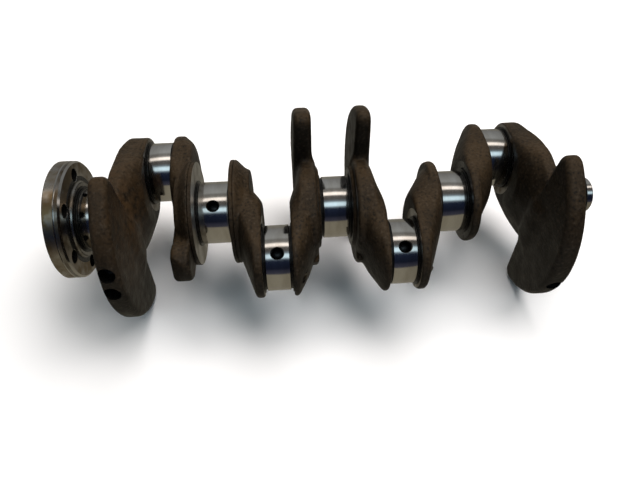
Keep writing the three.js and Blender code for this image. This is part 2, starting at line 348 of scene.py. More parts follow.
@dataclass(frozen=True)
class Drill:
    """A drilled hole with a broken edge at its mouth and a drill point at its end."""

    mouth: Vector
    outwards: Vector
    diameter: float
    depth: float
    bevel: float = 0.5
    overrun: float = 6.0
    land: float = 0.02
    sides: int = 48

    def tool(self, bore: bpy.types.Material, edge: bpy.types.Material) -> Piece:
        """The drill as a cutting tool.

        Args:
            bore: The finish inside the hole.
            edge: The finish of its broken edge.

        Returns:
            A closed mesh as large as what the drill takes away.
        """
        radius = self.diameter / 2
        point = radius * math.tan(DRILL_POINT)
        wide = radius + self.bevel
        runs = [
            Run([(-self.depth - point, 0), (-self.depth, radius), (-self.bevel, radius)], DrillFinish.BORE),
            Run([(0, wide), (self.land, wide)], DrillFinish.EDGE),
            Run([(self.overrun, wide + self.overrun), (self.overrun, 0)], DrillFinish.EDGE),
        ]
        if not self.bevel:
            runs = [
                Run([(-self.depth - point, 0), (-self.depth, radius)], DrillFinish.BORE),
                Run([(self.overrun, radius), (self.overrun, 0)], DrillFinish.BORE),
            ]
        return turned("drill", runs, [bore, edge], self.mouth, self.outwards, self.sides)


# ---- Finishes ----
class Graph:
    """A material's node graph, with short ways to add nodes and join them."""

    def __init__(self, name: str) -> None:
        """Makes a material with one shader.

        Args:
            name: The material's name.
        """
        self.material = bpy.data.materials.new(name)
        self.material.use_nodes = True
        self.tree = self.material.node_tree
        self.shader = self.tree.nodes["Principled BSDF"]
        self.place = self.add("ShaderNodeTexCoord").outputs["Object"]

    def add(self, kind: str, **settings: object) -> bpy.types.Node:
        """Adds a node.

        Args:
            kind: The node's type.
            **settings: The node's own settings, by name.

        Returns:
            The new node.
        """
        node = self.tree.nodes.new(kind)
        for name, value in settings.items():
            setattr(node, name, value)
        return node

    def join(self, source: Socket, target: Socket) -> None:
        """Joins two sockets."""
        self.tree.links.new(source, target)

    def fix(self, **values: object) -> None:
        """Sets values that are the same all over the surface.

        Args:
            **values: The values, by their sockets' names with underscores for spaces.
        """
        for name, value in values.items():
            socket = self.shader.inputs[name.replace("_", " ")]
            socket.default_value = (*value, 1) if isinstance(value, tuple) else value

    def stretched(self, along: float, across: float) -> Socket:
        """Coordinates that stretch a pattern.

        Args:
            along: The scale along the shaft.
            across: The scale across it.

        Returns:
            The coordinates.
        """
        mapping = self.add("ShaderNodeMapping")
        mapping.inputs["Scale"].default_value = (along, across, across)
        self.join(self.place, mapping.inputs["Vector"])
        return mapping.outputs["Vector"]

    def noise(self, size: float, detail: float = 3, place: Optional[Socket] = None) -> Socket:
        """A cloudy pattern.

        Args:
            size: The size of its blotches, in millimetres.
            detail: How many finer layers it has.
            place: Its coordinates, if not the piece's own.

        Returns:
            Its value, from 0 to 1.
        """
        node = self.add("ShaderNodeTexNoise")
        node.inputs["Scale"].default_value = 1 / (size * MM)
        node.inputs["Detail"].default_value = detail
        self.join(place or self.place, node.inputs["Vector"])
        return node.outputs["Fac"]

    def between(self, value: Socket, low: float, high: float, start: float, end: float) -> Socket:
        """Stretches a part of a value's range over another range.

        Args:
            value: The value.
            low: Where the part begins.
            high: Where the part ends.
            start: What the value becomes at the beginning.
            end: What the value becomes at the end.

        Returns:
            The stretched value.
        """
        node = self.add("ShaderNodeMapRange")
        for name, number in (("From Min", low), ("From Max", high), ("To Min", start), ("To Max", end)):
            node.inputs[name].default_value = number
        self.join(value, node.inputs["Value"])
        return node.outputs["Result"]

    def times(self, a: Socket, b: Socket) -> Socket:
        """Multiplies two values.

        Args:
            a: The first value.
            b: The second value.

        Returns:
            Their product.
        """
        node = self.add("ShaderNodeMath", operation="MULTIPLY")
        self.join(a, node.inputs[0])
        self.join(b, node.inputs[1])
        return node.outputs[0]

    def mixed(self, share: Socket, a: Socket | Colour, b: Socket | Colour) -> Socket:
        """Mixes two colours.

        Args:
            share: How much of the second one shows.
            a: The first colour, or a socket that gives it.
            b: The second colour, or a socket that gives it.

        Returns:
            The mixed colour.
        """
        node = self.add("ShaderNodeMix", data_type="RGBA")
        self.join(share, node.inputs["Factor"])
        for value, socket in ((a, node.inputs[6]), (b, node.inputs[7])):
            if isinstance(value, tuple):
                socket.default_value = (*value, 1)
            else:
                self.join(value, socket)
        return node.outputs[2]

    def upward(self) -> Socket:
        """How much the surface faces up, from -1 to 1."""
        split = self.add("ShaderNodeSeparateXYZ")
        self.join(self.add("ShaderNodeNewGeometry").outputs["Normal"], split.inputs[0])
        return split.outputs["Z"]

    def near(self, centre: Vector, reach: float) -> Socket:
        """How near the surface is to a point.

        Args:
            centre: The point, in millimetres.
            reach: How far from the point it falls to 0.

        Returns:
            The nearness, which is 1 at the point.
        """
        node = self.add("ShaderNodeVectorMath", operation="DISTANCE")
        self.join(self.place, node.inputs[0])
        node.inputs[1].default_value = centre * MM
        return self.between(node.outputs["Value"], 0, reach * MM, 1, 0)

    def rough(self, heights: Sequence[tuple[Socket, float]]) -> None:
        """Gives the surface relief.

        Args:
            heights: Each layer's pattern and its depth in millimetres.
        """
        normal = None
        for pattern, depth in heights:
            node = self.add("ShaderNodeBump")
            node.inputs["Distance"].default_value = depth * MM
            self.join(pattern, node.inputs["Height"])
            if normal is not None:
                self.join(normal, node.inputs["Normal"])
            normal = node.outputs["Normal"]
        self.join(normal, self.shader.inputs["Normal"])


@dataclass(frozen=True)
class ForgedSkin:
    """The scaly skin that the forging die leaves, stained by hot oil, with painted light where it faces up
    and painted shade where it faces down.
    """

    name: str = "forged_skin"
    # The first colour is painted shade, for faces that look down. The second is painted light, for faces
    # that look up, varied in broad stains.
    shade: Colour = (0.0062, 0.0050, 0.0036)
    top_light_and_stain: Colour = (0.031, 0.0190, 0.0092)
    scale: Colour = (0.0160, 0.0118, 0.0078)
    speck: Colour = (0.052, 0.0385, 0.0265)
    soot: Colour = (0.0035, 0.0030, 0.0024)
    rust: Colour = (0.046, 0.0255, 0.0115)
    rust_centre: Optional[Vector] = None
    rust_reach: float = 62.0
    rust_patch: float = 5.0
    broad_size: float = 34.0
    patch_size: float = 9.0
    pit_size: float = 2.6
    grain_size: float = 2.0
    roughness: tuple[float, float] = (0.38, 0.56)
    gloss: float = 0.20
    broad_depth: float = 0.9
    patch_depth: float = 0.4
    pit_depth: float = 0.16
    grain_depth: float = 0.26

    def material(self) -> bpy.types.Material:
        """The skin as a material.

        Returns:
            The material, with painted light and stains where the skin faces up, painted shade where it
            faces down, scale, specks, soot and any rust.
        """
        graph = Graph(self.name)
        broad = graph.noise(self.broad_size, 4)
        patches = graph.noise(self.patch_size, 5)
        grain = graph.noise(self.grain_size, 5)
        pits = graph.add("ShaderNodeTexVoronoi", feature="SMOOTH_F1")
        pits.inputs["Scale"].default_value = 1 / (self.pit_size * MM)
        graph.join(graph.place, pits.inputs["Vector"])
        # Painted light and shade: the colour runs from painted shade on faces that look down to the lit,
        # stained colour on faces that look up.
        lit = graph.between(graph.upward(), -0.1, 0.8, 0.15, 1)
        top_light_and_stain_share = graph.times(lit, graph.between(broad, 0.34, 0.62, 0.45, 1))
        colour = graph.mixed(top_light_and_stain_share, self.shade, self.top_light_and_stain)
        colour = graph.mixed(graph.between(patches, 0.52, 0.72, 0, 0.55), colour, self.scale)
        colour = graph.mixed(graph.between(grain, 0.56, 0.70, 0, 0.55), colour, self.speck)
        colour = graph.mixed(graph.between(grain, 0.46, 0.34, 0, 0.75), colour, self.soot)
        if self.rust_centre is not None:
            speckle = graph.between(graph.noise(self.rust_patch, 5), 0.30, 0.65, 0, 1)
            rusted = graph.times(graph.near(self.rust_centre, self.rust_reach), speckle)
            colour = graph.mixed(rusted, colour, self.rust)
        graph.join(colour, graph.shader.inputs["Base Color"])
        dullness = graph.between(patches, 0.3, 0.7, *self.roughness)
        graph.join(dullness, graph.shader.inputs["Roughness"])
        graph.fix(Metallic=0.0, Specular_IOR_Level=self.gloss)
        graph.rough([
            (broad, self.broad_depth), (patches, self.patch_depth),
            (pits.outputs["Distance"], self.pit_depth), (grain, self.grain_depth),
        ])
        return graph.material


@dataclass(frozen=True)
class GroundSteel:
    """Journal steel, ground and lapped to a mirror with the faintest rings."""

    name: str = "ground_steel"
    tint: Colour = (0.62, 0.61, 0.60)
    worn: Colour = (0.50, 0.48, 0.455)
    roughness: tuple[float, float] = (0.09, 0.16)
    ring_size: float = 0.5
    ring_stretch: float = 0.012
    ring_depth: float = 0.004
    wear_size: float = 16.0
    wear_depth: float = 0.02

    def material(self) -> bpy.types.Material:
        """The ground surface as a material.

        Returns:
            The material, with faint rings and a little wear.
        """
        graph = Graph(self.name)
        rings = graph.noise(self.ring_size, 3, graph.stretched(1, self.ring_stretch))
        wear = graph.noise(self.wear_size, 3, graph.stretched(1.6, 0.5))
        colour = graph.mixed(graph.between(wear, 0.38, 0.66, 0, 1), self.tint, self.worn)
        graph.join(colour, graph.shader.inputs["Base Color"])
        dullness = graph.between(rings, 0.3, 0.7, *self.roughness)
        graph.join(dullness, graph.shader.inputs["Roughness"])
        graph.fix(Metallic=1.0)
        graph.rough([(rings, self.ring_depth), (wear, self.wear_depth)])
        return graph.material


@dataclass(frozen=True)
class TurnedSteel:
    """Steel as the lathe leaves it, with fine tool marks and a film of old oil."""

    name: str = "turned_steel"
    bright: Colour = (0.30, 0.29, 0.275)
    filmed: Colour = (0.12, 0.088, 0.055)
    film: tuple[float, float] = (0.42, 0.64)
    roughness: tuple[float, float] = (0.24, 0.40)
    mark_size: float = 0.45
    mark_depth: float = 0.012
    film_size: float = 14.0
    film_depth: float = 0.03

    def material(self) -> bpy.types.Material:
        """The turned surface as a material.

        Returns:
            The material, with tool marks round the main axis under the film of oil.
        """
        graph = Graph(self.name)
        split = graph.add("ShaderNodeSeparateXYZ")
        graph.join(graph.place, split.inputs[0])
        flat = graph.add("ShaderNodeCombineXYZ")
        graph.join(split.outputs["Y"], flat.inputs["Y"])
        graph.join(split.outputs["Z"], flat.inputs["Z"])
        radius = graph.add("ShaderNodeVectorMath", operation="LENGTH")
        graph.join(flat.outputs[0], radius.inputs[0])
        feed = graph.add("ShaderNodeCombineXYZ")
        graph.join(radius.outputs["Value"], feed.inputs["X"])
        graph.join(split.outputs["X"], feed.inputs["Y"])
        marks = graph.noise(self.mark_size, 2, feed.outputs[0])
        film = graph.noise(self.film_size, 5)
        colour = graph.mixed(graph.between(film, *self.film, 0, 1), self.bright, self.filmed)
        graph.join(colour, graph.shader.inputs["Base Color"])
        dullness = graph.between(film, 0.35, 0.65, *self.roughness)
        graph.join(dullness, graph.shader.inputs["Roughness"])
        graph.fix(Metallic=1.0)
        graph.rough([(marks, self.mark_depth), (film, self.film_depth)])
        return graph.material


@dataclass(frozen=True)
class OilyGroove:
    """A turned groove or ring full of black oil."""

    name: str = "oily_groove"
    oil: Colour = (0.0035, 0.0033, 0.003)
    steel: Colour = (0.016, 0.0135, 0.011)
    roughness: tuple[float, float] = (0.24, 0.42)
    gloss: float = 0.28
    smear_size: float = 2.2
    smear_depth: float = 0.02

    def material(self) -> bpy.types.Material:
        """The oily surface as a material.

        Returns:
            The material, with the steel showing through where the oil is thin.
        """
        graph = Graph(self.name)
        smear = graph.noise(self.smear_size, 4)
        colour = graph.mixed(graph.between(smear, 0.56, 0.72, 0, 1), self.oil, self.steel)
        graph.join(colour, graph.shader.inputs["Base Color"])
        dullness = graph.between(smear, 0.35, 0.65, *self.roughness)
        graph.join(dullness, graph.shader.inputs["Roughness"])
        graph.fix(Metallic=0.0, Specular_IOR_Level=self.gloss)
        graph.rough([(smear, self.smear_depth)])
        return graph.material


@dataclass(frozen=True)
class PaperFloor:
    """The pale sheet that the crankshaft lies on."""

    name: str = "paper_floor"
    paper: Colour = (0.95, 0.918, 0.903)
    roughness: float = 0.8
    gloss: float = 0.2

    def material(self) -> bpy.types.Material:
        """The sheet as a material.

        Returns:
            The material.
        """
        graph = Graph(self.name)
        graph.fix(Base_Color=self.paper, Roughness=self.roughness, Specular_IOR_Level=self.gloss)
        return graph.material


@dataclass
class Finishes:
    """Every material of the crankshaft, made once and shared by its pieces."""

    forged: bpy.types.Material
    rusted: bpy.types.Material
    ground: bpy.types.Material
    turned: bpy.types.Material
    flange: bpy.types.Material
    thrust: bpy.types.Material
    plug: bpy.types.Material
    groove: bpy.types.Material

    @classmethod
    def made(cls) -> "Finishes":
        """Makes the materials.

        Returns:
            The shared materials.
        """
        rear_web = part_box("web_1")[0].x / MM
        rusty_place = Vector((rear_web + 18, -22, 28))
        return cls(
            forged=ForgedSkin().material(),
            rusted=ForgedSkin("forged_skin_rusted", rust_centre=rusty_place).material(),
            ground=GroundSteel().material(),
            turned=TurnedSteel().material(),
            flange=TurnedSteel(
                "flange_steel", bright=(0.42, 0.40, 0.37), filmed=(0.20, 0.140, 0.075),
                film=(0.36, 0.60),
            ).material(),
            thrust=TurnedSteel(
                "thrust_steel", bright=(0.62, 0.60, 0.57), filmed=(0.46, 0.43, 0.39),
                roughness=(0.36, 0.52),
            ).material(),
            plug=TurnedSteel(
                "plug_steel", bright=(0.10, 0.085, 0.070), filmed=(0.035, 0.027, 0.019),
            ).material(),
            groove=OilyGroove().material(),
        )


def keep(piece: Piece, node: str) -> None:
    """Puts a finished piece in the place of its CAD node.

    Args:
        piece: The piece.
        node: The CAD node that it stands for.
    """
    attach(piece, "root")
    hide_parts(node)
    LOG.info("%s: %d faces", piece.name, len(piece.data.polygons))


# ---- Journals ----
class JournalFinish(IntEnum):
    """The finishes of a journal or the nose, as its outline numbers them."""

    GROUND = 0
    OILY = 1


@dataclass(frozen=True)
class Journal:
    """A main journal or a crankpin: ground surface, rolled undercuts and turned rings."""

    node: str
    radius: float = 25.0
    ring_height: float = 1.6
    ring_width: float = 0.9
    ring_edge: float = 0.25
    groove_width: float = 1.5
    groove_depth: float = 0.9
    roll: float = 0.35
    oil_hole: float = 9.0
    oil_bevel: float = 0.75
    oil_depth: float = 14.0

    def end(self, length: float) -> list[Run]:
        """The outline of one end, from its face in to the ground surface.

        Args:
            length: How far the face is from the journal's middle.

        Returns:
            The end's stretches, in order.
        """
        top = self.radius + self.ring_height
        wall = length - self.ring_width
        foot = wall - self.groove_width
        middle = (wall + foot) / 2
        floor = self.radius - self.groove_depth
        bowl = [
            (middle + math.cos(turn) * self.groove_width / 2, floor + (1 - math.sin(turn)) * self.roll)
            for turn in (math.radians(18 * n) for n in range(1, 10))
        ]
        return [
            Run([(length, 0), (length, top - self.ring_edge)], JournalFinish.OILY),
            Run([(length - self.ring_edge, top)], JournalFinish.OILY),
            Run([(wall + self.ring_edge, top), (wall, top - self.ring_edge)], JournalFinish.OILY),
            Run([(wall, floor + self.roll), *bowl, (foot, floor + self.roll)], JournalFinish.OILY),
            Run([(foot, self.radius - self.roll)], JournalFinish.GROUND),
            Run([(foot - self.roll / 3, self.radius - self.roll / 4)], JournalFinish.GROUND),
            Run([(foot - self.roll, self.radius)], JournalFinish.GROUND),
        ]

    def mouths(self) -> list[Vector]:
        """The directions of the journal's oil holes, across the shaft."""
        return []

    def build(self, finishes: Finishes) -> Piece:
        """Builds the journal and puts it in its node's place.

        Args:
            finishes: The shared materials.

        Returns:
            The finished journal.
        """
        low, high = (Vector(corner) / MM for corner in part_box(self.node))
        centre = (low + high) / 2
        half = (high.x - low.x) / 2
        rear = [Run([(-x, r) for x, r in run.points], run.finish) for run in self.end(half)]
        front = [
            Run(list(reversed(run.points)), run.finish) for run in reversed(self.end(half))
        ]
        piece = turned(
            f"{self.node}_ground", [*rear, *front], [finishes.ground, finishes.groove], centre, ALONG,
        )
        drills = [
            Drill(centre + way * self.radius, way, self.oil_hole, self.oil_depth, self.oil_bevel)
            for way in self.mouths()
        ]
        if drills:
            cut(piece, [drill.tool(finishes.groove, finishes.turned) for drill in drills])
            smoothed(piece)
        keep(piece, self.node)
        return piece


@dataclass(frozen=True)
class MainJournal(Journal):
    """A main journal. The fed ones have an oil hole towards the block's gallery."""

    hole_angle: Optional[float] = None

    def mouths(self) -> list[Vector]:
        """The one mouth of a fed journal.

        Returns:
            Its direction, at an angle up from the side of crankpins 2 and 3, or nothing.
        """
        if self.hole_angle is None:
            return []
        angle = math.radians(self.hole_angle)
        return [Vector((0, -math.cos(angle), math.sin(angle)))]


@dataclass(frozen=True)
class Crankpin(Journal):
    """A crankpin, whose oil hole leads the film of oil to the rod's loaded side."""

    hole_angle: float = 62.0

    def mouths(self) -> list[Vector]:
        """The crankpin's one mouth.

        Returns:
            Its direction, turned from the throw's.
        """
        low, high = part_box(self.node)
        side = math.copysign(1, low.y + high.y)
        angle = math.radians(self.hole_angle)
        return [Vector((0, side * math.cos(angle), -side * math.sin(angle)))]


# ---- Webs ----
class CheekFinish(IntEnum):
    """The finishes that the lathe leaves on the crankpin's cheek, as its tool numbers them."""

    OILY = 0
    TURNED = 1


class WebKind(Enum):
    """What a web carries besides its arm."""

    PLAIN = "plain"
    LUGGED = "lugged"
    WEIGHTED = "weighted"


@dataclass(frozen=True)
class Arm:
    """An arm: at each station its outline is the hull of a heel circle and a toe circle."""

    start: float
    heel: Line
    heel_radius: Line
    toe: Line
    toe_radius: Line
    end: float = 24.0
    edge: float = 2.6
    spread: float = 0.9

    def field(self, s: Field, u: Field, v: Field) -> Field:
        """The arm's field.

        Args:
            s: Distances from the main journal's face.
            u: Distances along the throw.
            v: Distances across it.

        Returns:
            The field, below zero inside.
        """
        stations = s[:, 0, 0]
        heel, heel_radius, toe, toe_radius = (
            softened(stations, line, self.spread)[:, None, None]
            for line in (self.heel, self.heel_radius, self.toe, self.toe_radius)
        )
        outline = tapered_outline(u, v, heel, heel_radius, toe, toe_radius)
        slant = self.slant(stations)[:, None, None]
        return rounded_max(outline * slant, np.maximum(self.start - s, s - self.end), self.edge)

    def slant(self, stations: Field) -> Field:
        """How much nearer the sloping surface is than its distance within a station's plane.

        Args:
            stations: Distances from the main journal's face.

        Returns:
            The factor at each station, 1 where the surface doesn't slope.
        """
        toe = softened(stations, self.toe, self.spread)
        toe_radius = softened(stations, self.toe_radius, self.spread)
        slope = np.gradient(toe + toe_radius, stations)
        return 1 / np.sqrt(1 + np.clip(slope, -STEEPEST_SLOPE, STEEPEST_SLOPE) ** 2)


@dataclass(frozen=True)
class Counterweight:
    """The counterweight: a fan about the main axis, drafted both ways from the parting line."""

    rim: float = 80.5
    start: float = 4.2
    end: float = 20.3
    flank: float = -19.0
    flank_lean: float = 0.035
    corner: float = 11.0
    edge: float = 4.5
    draft: float = 0.034
    main_draft: float = 0.006
    ridge: float = 1.0

    def field(self, s: Field, u: Field, v: Field) -> Field:
        """The counterweight's field.

        Args:
            s: Distances from the main journal's face.
            u: Distances along the throw.
            v: Distances across it.

        Returns:
            The field, below zero inside.
        """
        across = np.abs(v)
        radial = np.hypot(u, v) - self.rim
        flank = u - self.flank + self.flank_lean * across
        outline = rounded_max(radial, flank, self.corner)
        away = np.sqrt(across * across + self.ridge * self.ridge)
        faces = np.maximum(self.start + self.main_draft * away - s, s - self.end + self.draft * away)
        return rounded_max(outline, faces, self.edge)


@dataclass(frozen=True)
class Lug:
    """The broken balance lug on the second web: a ball on a narrow neck, with one broken facet."""

    centre: float = -46.5
    radius: float = 15.5
    neck: float = 9.5
    neck_fillet: float = 3.5
    start: float = 5.5
    end: float = 20.5
    edge: float = 4.0
    break_point: tuple[float, float, float] = (12.0, -60.5, 4.0)
    break_way: tuple[float, float, float] = (0.5, -0.82, 0.28)
    break_edge: float = 0.9

    def field(self, s: Field, u: Field, v: Field) -> Field:
        """The lug's field.

        Args:
            s: Distances from the main journal's face.
            u: Distances along the throw.
            v: Distances across it.

        Returns:
            The field, below zero inside.
        """
        ball = np.hypot(u - self.centre, v) - self.radius
        neck = np.maximum(np.maximum(np.abs(v) - self.neck, u), self.centre - u)
        outline = blended_min(ball, neck, self.neck_fillet)
        faces = np.maximum(self.start - s, s - self.end)
        body = rounded_max(outline, faces, self.edge)
        broken = sum(
            way * (place - point)
            for way, place, point in zip(self.break_way, (s, u, v), self.break_point)
        )
        return rounded_max(body, broken, self.break_edge)


@dataclass(frozen=True)
class Spine:
    """The thick middle that carries the pin side of a weighted web on into its counterweight."""

    half_width: float = 23.0
    low: float = -36.0
    high: float = 16.0
    start: float = 4.0
    end: float = 19.6
    lean: float = 0.05
    edge: float = 7.0

    def field(self, s: Field, u: Field, v: Field) -> Field:
        """The spine's field.

        Args:
            s: Distances from the main journal's face.
            u: Distances along the throw.
            v: Distances across it.

        Returns:
            The field, below zero inside.
        """
        across = np.abs(v)
        outline = np.maximum(np.maximum(across - self.half_width, self.low - u), u - self.high)
        faces = np.maximum(self.start - s, s - self.end + self.lean * across)
        return rounded_max(outline, faces, self.edge)


@dataclass(frozen=True)
class ThrustRoot:
    """The thick round root that carries a thrust face, narrowing as it leaves it."""

    radius: Line = ((0, 42.2), (2.0, 41.4), (4.5, 38.8), (8.0, 35.2), (12.0, 33.0))
    end: float = 12.0
    edge: float = 0.4
    slant: float = 0.8

    def field(self, s: Field, u: Field, v: Field, face: float) -> Field:
        """The root's field.

        Args:
            s: Distances from the main journal's face.
            u: Distances along the throw.
            v: Distances across it.
            face: Where its flat face stands.

        Returns:
            The field, below zero inside.
        """
        depth = np.maximum(s[:, 0, 0] - face, 0)
        places, radii = zip(*self.radius)
        radius = np.interp(depth, places, radii)[:, None, None]
        faces = np.maximum(face - s, s - face - self.end)
        return rounded_max((np.hypot(u, v) - radius) * self.slant, faces, self.edge)


@dataclass(frozen=True)
class Hub:
    """The round end of a web about its main journal."""

    radius: float = 33.0
    width: float = 7.0
    edge: float = 1.6

    def field(self, s: Field, u: Field, v: Field, face: float) -> Field:
        """The hub's field.

        Args:
            s: Distances from the main journal's face.
            u: Distances along the throw.
            v: Distances across it.
            face: Where its flat face stands.

        Returns:
            The field, below zero inside.
        """
        faces = np.maximum(face - s, s - face - self.width)
        return rounded_max(np.hypot(u, v) - self.radius, faces, self.edge)


@dataclass(frozen=True)
class Web:
    """One web of the forging, with its turned cheeks and drillings."""

    number: int
    pin: int
    kind: WebKind
    arm: Arm
    weight: Optional[Counterweight] = None
    spine: Optional[Spine] = None
    root: Optional[ThrustRoot] = None
    face: float = 0.0
    balance_angles: tuple[float, ...] = ()
    width: float = 23.5
    fillet: float = 6.0
    hub_fillet: float = 2.0
    cheek: float = 32.8
    main_cheek: float = 33.0
    main_cheek_depth: float = 0.06
    spine_fillet: float = 10.0
    balance_hole: float = 12.5
    balance_depth: float = 12.0
    balance_station: float = 11.0
    ripple: float = 0.35
    ripple_size: float = 13.0
    crease: float = 50.0
    overrun: float = 12.0
    cheek_edge: float = 0.4
    main_cheek_edge: float = 0.3
    lattice: Lattice = Lattice()

    @property
    def node(self) -> str:
        """The CAD node that the web stands for."""
        return f"web_{self.number}"

    @property
    def ahead(self) -> int:
        """Which way s runs along the shaft: 1 towards the nose, -1 towards the flange."""
        return 1 if self.number % 2 else -1

    def pin_box(self) -> tuple[Vector, Vector]:
        """The crankpin's lowest and highest corners, in millimetres."""
        low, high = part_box(f"crankpin_{self.pin}")
        return Vector(low) / MM, Vector(high) / MM

    def placed(self, s: float, u: float, v: float) -> Vector:
        """Carries a point of the web's own frame into the shaft's.

        Args:
            s: Its distance from the main journal's face.
            u: Its distance along the throw.
            v: Its distance across it.

        Returns:
            The point, in millimetres.
        """
        low, high = self.pin_box()
        edge = low.x if self.ahead > 0 else high.x
        side = math.copysign(1, low.y + high.y)
        return Vector((edge - self.ahead * (self.width - s), side * u, v))

    def throw(self) -> float:
        """The crankpin's distance from the main axis."""
        low, high = self.pin_box()
        return abs(low.y + high.y) / 2

    def field(self, s: Field, u: Field, v: Field) -> Field:
        """The whole web's field.

        Args:
            s: Distances from the main journal's face.
            u: Distances along the throw.
            v: Distances across it.

        Returns:
            The field, below zero inside.
        """
        made = self.arm.field(s, u, v)
        hub = self.root or Hub()
        made = blended_min(made, hub.field(s, u, v, self.face), self.hub_fillet)
        if self.weight is not None:
            made = blended_min(made, self.weight.field(s, u, v), self.fillet)
        if self.spine is not None:
            made = blended_min(made, self.spine.field(s, u, v), self.spine_fillet)
        if self.kind is WebKind.LUGGED:
            made = blended_min(made, Lug().field(s, u, v), self.fillet)
        return np.maximum(made, self.face - s)

    def forging(self, finishes: Finishes) -> Piece:
        """The web as it leaves the die.

        Args:
            finishes: The shared materials.

        Returns:
            The forging, with the die's slight unevenness.
        """
        points, quads = self.lattice.skin(self.field(*self.lattice.axes()))
        corner = self.placed(0, 0, 0)
        side = self.placed(0, 1, 0).y
        world = np.stack([
            corner.x + self.ahead * points[:, 0], side * points[:, 1], points[:, 2],
        ], axis=1)
        skin = finishes.rusted if self.number == 1 else finishes.forged
        materials = [skin, finishes.groove, finishes.turned]
        piece = object_of(f"{self.node}_forged", world * MM, quads, materials)
        texture = bpy.data.textures.new(f"{self.node}_ripple", "CLOUDS")
        texture.noise_scale = self.ripple_size * MM
        texture.noise_depth = 3
        modifier = piece.modifiers.new("ripple", "DISPLACE")
        modifier.texture = texture
        modifier.texture_coords = "LOCAL"
        modifier.strength = self.ripple * MM
        modifier.mid_level = 0.5
        return baked(piece)

    def cheek_tool(self, finishes: Finishes) -> Piece:
        """The lathe's path round the crankpin, which leaves a flat turned cheek.

        Args:
            finishes: The shared materials.

        Returns:
            The cutting tool.
        """
        start = self.placed(self.width, self.throw(), 0)
        wide, far, edge = self.cheek, self.overrun, self.cheek_edge
        runs = [
            Run([(0, 0), (0, wide - edge), (edge, wide)], CheekFinish.TURNED),
            Run([(far, wide + far / 4), (far, 0)], CheekFinish.OILY),
        ]
        return turned(
            "cheek_tool", runs, [finishes.groove, finishes.turned], start, Vector((self.ahead, 0, 0)),
        )

    def face_tool(self, finishes: Finishes) -> Piece:
        """The lathe's path round the main journal, which leaves a flat turned cheek.

        Args:
            finishes: The shared materials.

        Returns:
            The cutting tool.
        """
        start = self.placed(self.face + self.main_cheek_depth, 0, 0)
        wide, far, edge = self.main_cheek, self.overrun, self.main_cheek_edge
        runs = [
            Run([(0, 0), (0, wide - edge), (edge, wide)]),
            Run([(far, wide + far / 4), (far, 0)]),
        ]
        return turned("face_tool", runs, [finishes.groove], start, Vector((-self.ahead, 0, 0)))

    def balance_tools(self, finishes: Finishes) -> list[Piece]:
        """The drills of the balancing machine.

        Args:
            finishes: The shared materials.

        Returns:
            The cutting tools.
        """
        tools = []
        for angle in (math.radians(a) for a in self.balance_angles):
            rim = self.weight.rim
            mouth = self.placed(self.balance_station, -rim * math.cos(angle), rim * math.sin(angle))
            way = Vector((0, mouth.y, mouth.z)).normalized()
            drill = Drill(mouth, way, self.balance_hole, self.balance_depth, bevel=0.0)
            tools.append(drill.tool(finishes.groove, finishes.turned))
        return tools

    def build(self, finishes: Finishes) -> Piece:
        """Builds the web and puts it in its node's place.

        Args:
            finishes: The shared materials.

        Returns:
            The finished web.
        """
        piece = self.forging(finishes)
        tools = [self.cheek_tool(finishes), self.face_tool(finishes), *self.balance_tools(finishes)]
        cut(piece, tools)
        smoothed(piece, self.crease)
        keep(piece, self.node)
        return piece


def end_arm(toe: Line, toe_radius: Line) -> Arm:
    """The arm of the first or last web.

    Args:
        toe: The line of its toe's centre.
        toe_radius: The line of its toe's radius.

    Returns:
        The arm.
    """
    return Arm(
        start=2.5,
        heel=[(0, 6), (12.5, 6), (18.75, 17), (23.5, 32)],
        heel_radius=[(0, 42), (12.5, 42), (18.75, 37.5), (23.5, 32)],
        toe=toe,
        toe_radius=toe_radius,
    )


def middle_arm() -> Arm:
    """The arm of a web beside the middle main journal.

    Returns:
        The arm.
    """
    return Arm(
        start=2.5,
        heel=[(0, 6), (12.75, 6), (15.7, 10), (19, 20), (23.5, 32)],
        heel_radius=[(0, 42), (12.75, 42), (15.7, 41), (19, 35.5), (23.5, 31.5)],
        toe=[(0, 6.5), (6, 12), (12, 30), (17.4, 42), (20, 48), (24, 48)],
        toe_radius=[(0, 33), (6, 33), (20, 30), (24, 30)],
    )


def plain_arm(face: float, toe: Line = ((0, 0.5), (17.5, 48), (24, 48))) -> Arm:
    """The arm of a web without a counterweight.

    Args:
        face: Where its main face stands.
        toe: The line of its toe's centre.

    Returns:
        The arm.
    """
    return Arm(
        start=face,
        heel=[(0, 0), (3.5, 0), (23.5, 32)],
        heel_radius=[(0, 33), (3.5, 33), (23.5, 32)],
        toe=toe,
        toe_radius=[(0, 33), (face, 33), (17.5, 30), (24, 30)],
    )


